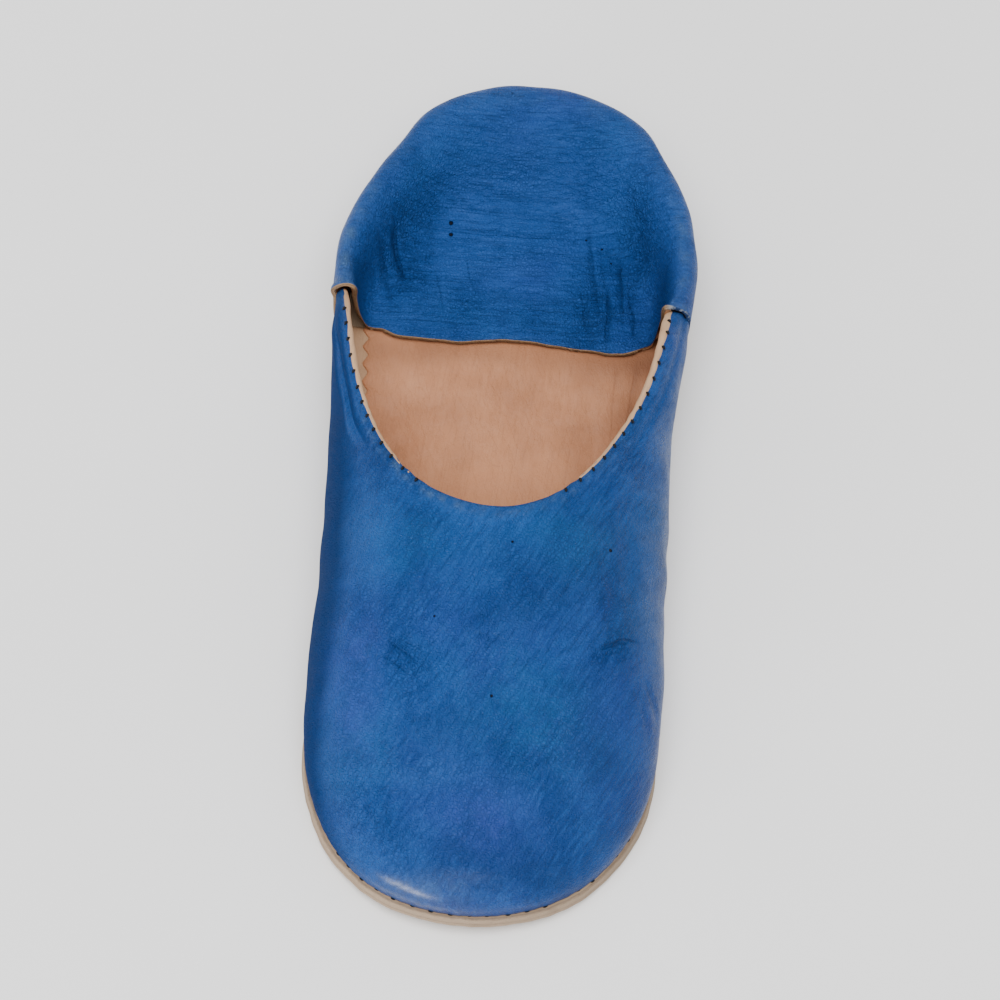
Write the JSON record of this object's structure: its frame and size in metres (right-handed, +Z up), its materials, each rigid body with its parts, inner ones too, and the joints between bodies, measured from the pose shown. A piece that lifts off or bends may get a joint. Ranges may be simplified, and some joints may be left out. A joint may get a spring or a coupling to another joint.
{
  "type": "babouche slipper",
  "caption": "Backless-wearing leather slipper with a wide U-shaped throat, a rounded toe and a heel quarter folded down inside over the insole, on a flat sole with a low heel lift.",
  "frame": {"origin": "centre of the shoe's outline in plan, on the plane that the sole stands on", "axes": "+Z up, +Y from the toe to the heel along the length, +X to the outer side of the foot"},
  "size_m": [0.1099, 0.2738, 0.0483],
  "materials": {
    "blue_leather": "hand-dyed blue goat leather, soft satin, mottled",
    "insole_leather": "undyed tan leather, smooth and matt",
    "sole_leather": "pale vegetable-tanned sole leather with a fibrous cut edge"
  },
  "bodies": {
    "root": {"outsole": "sole_leather", "heel_lift": "sole_leather", "insole": "insole_leather", "vamp": "blue_leather", "heel_quarter": "blue_leather"}
  },
  "joints": []
}
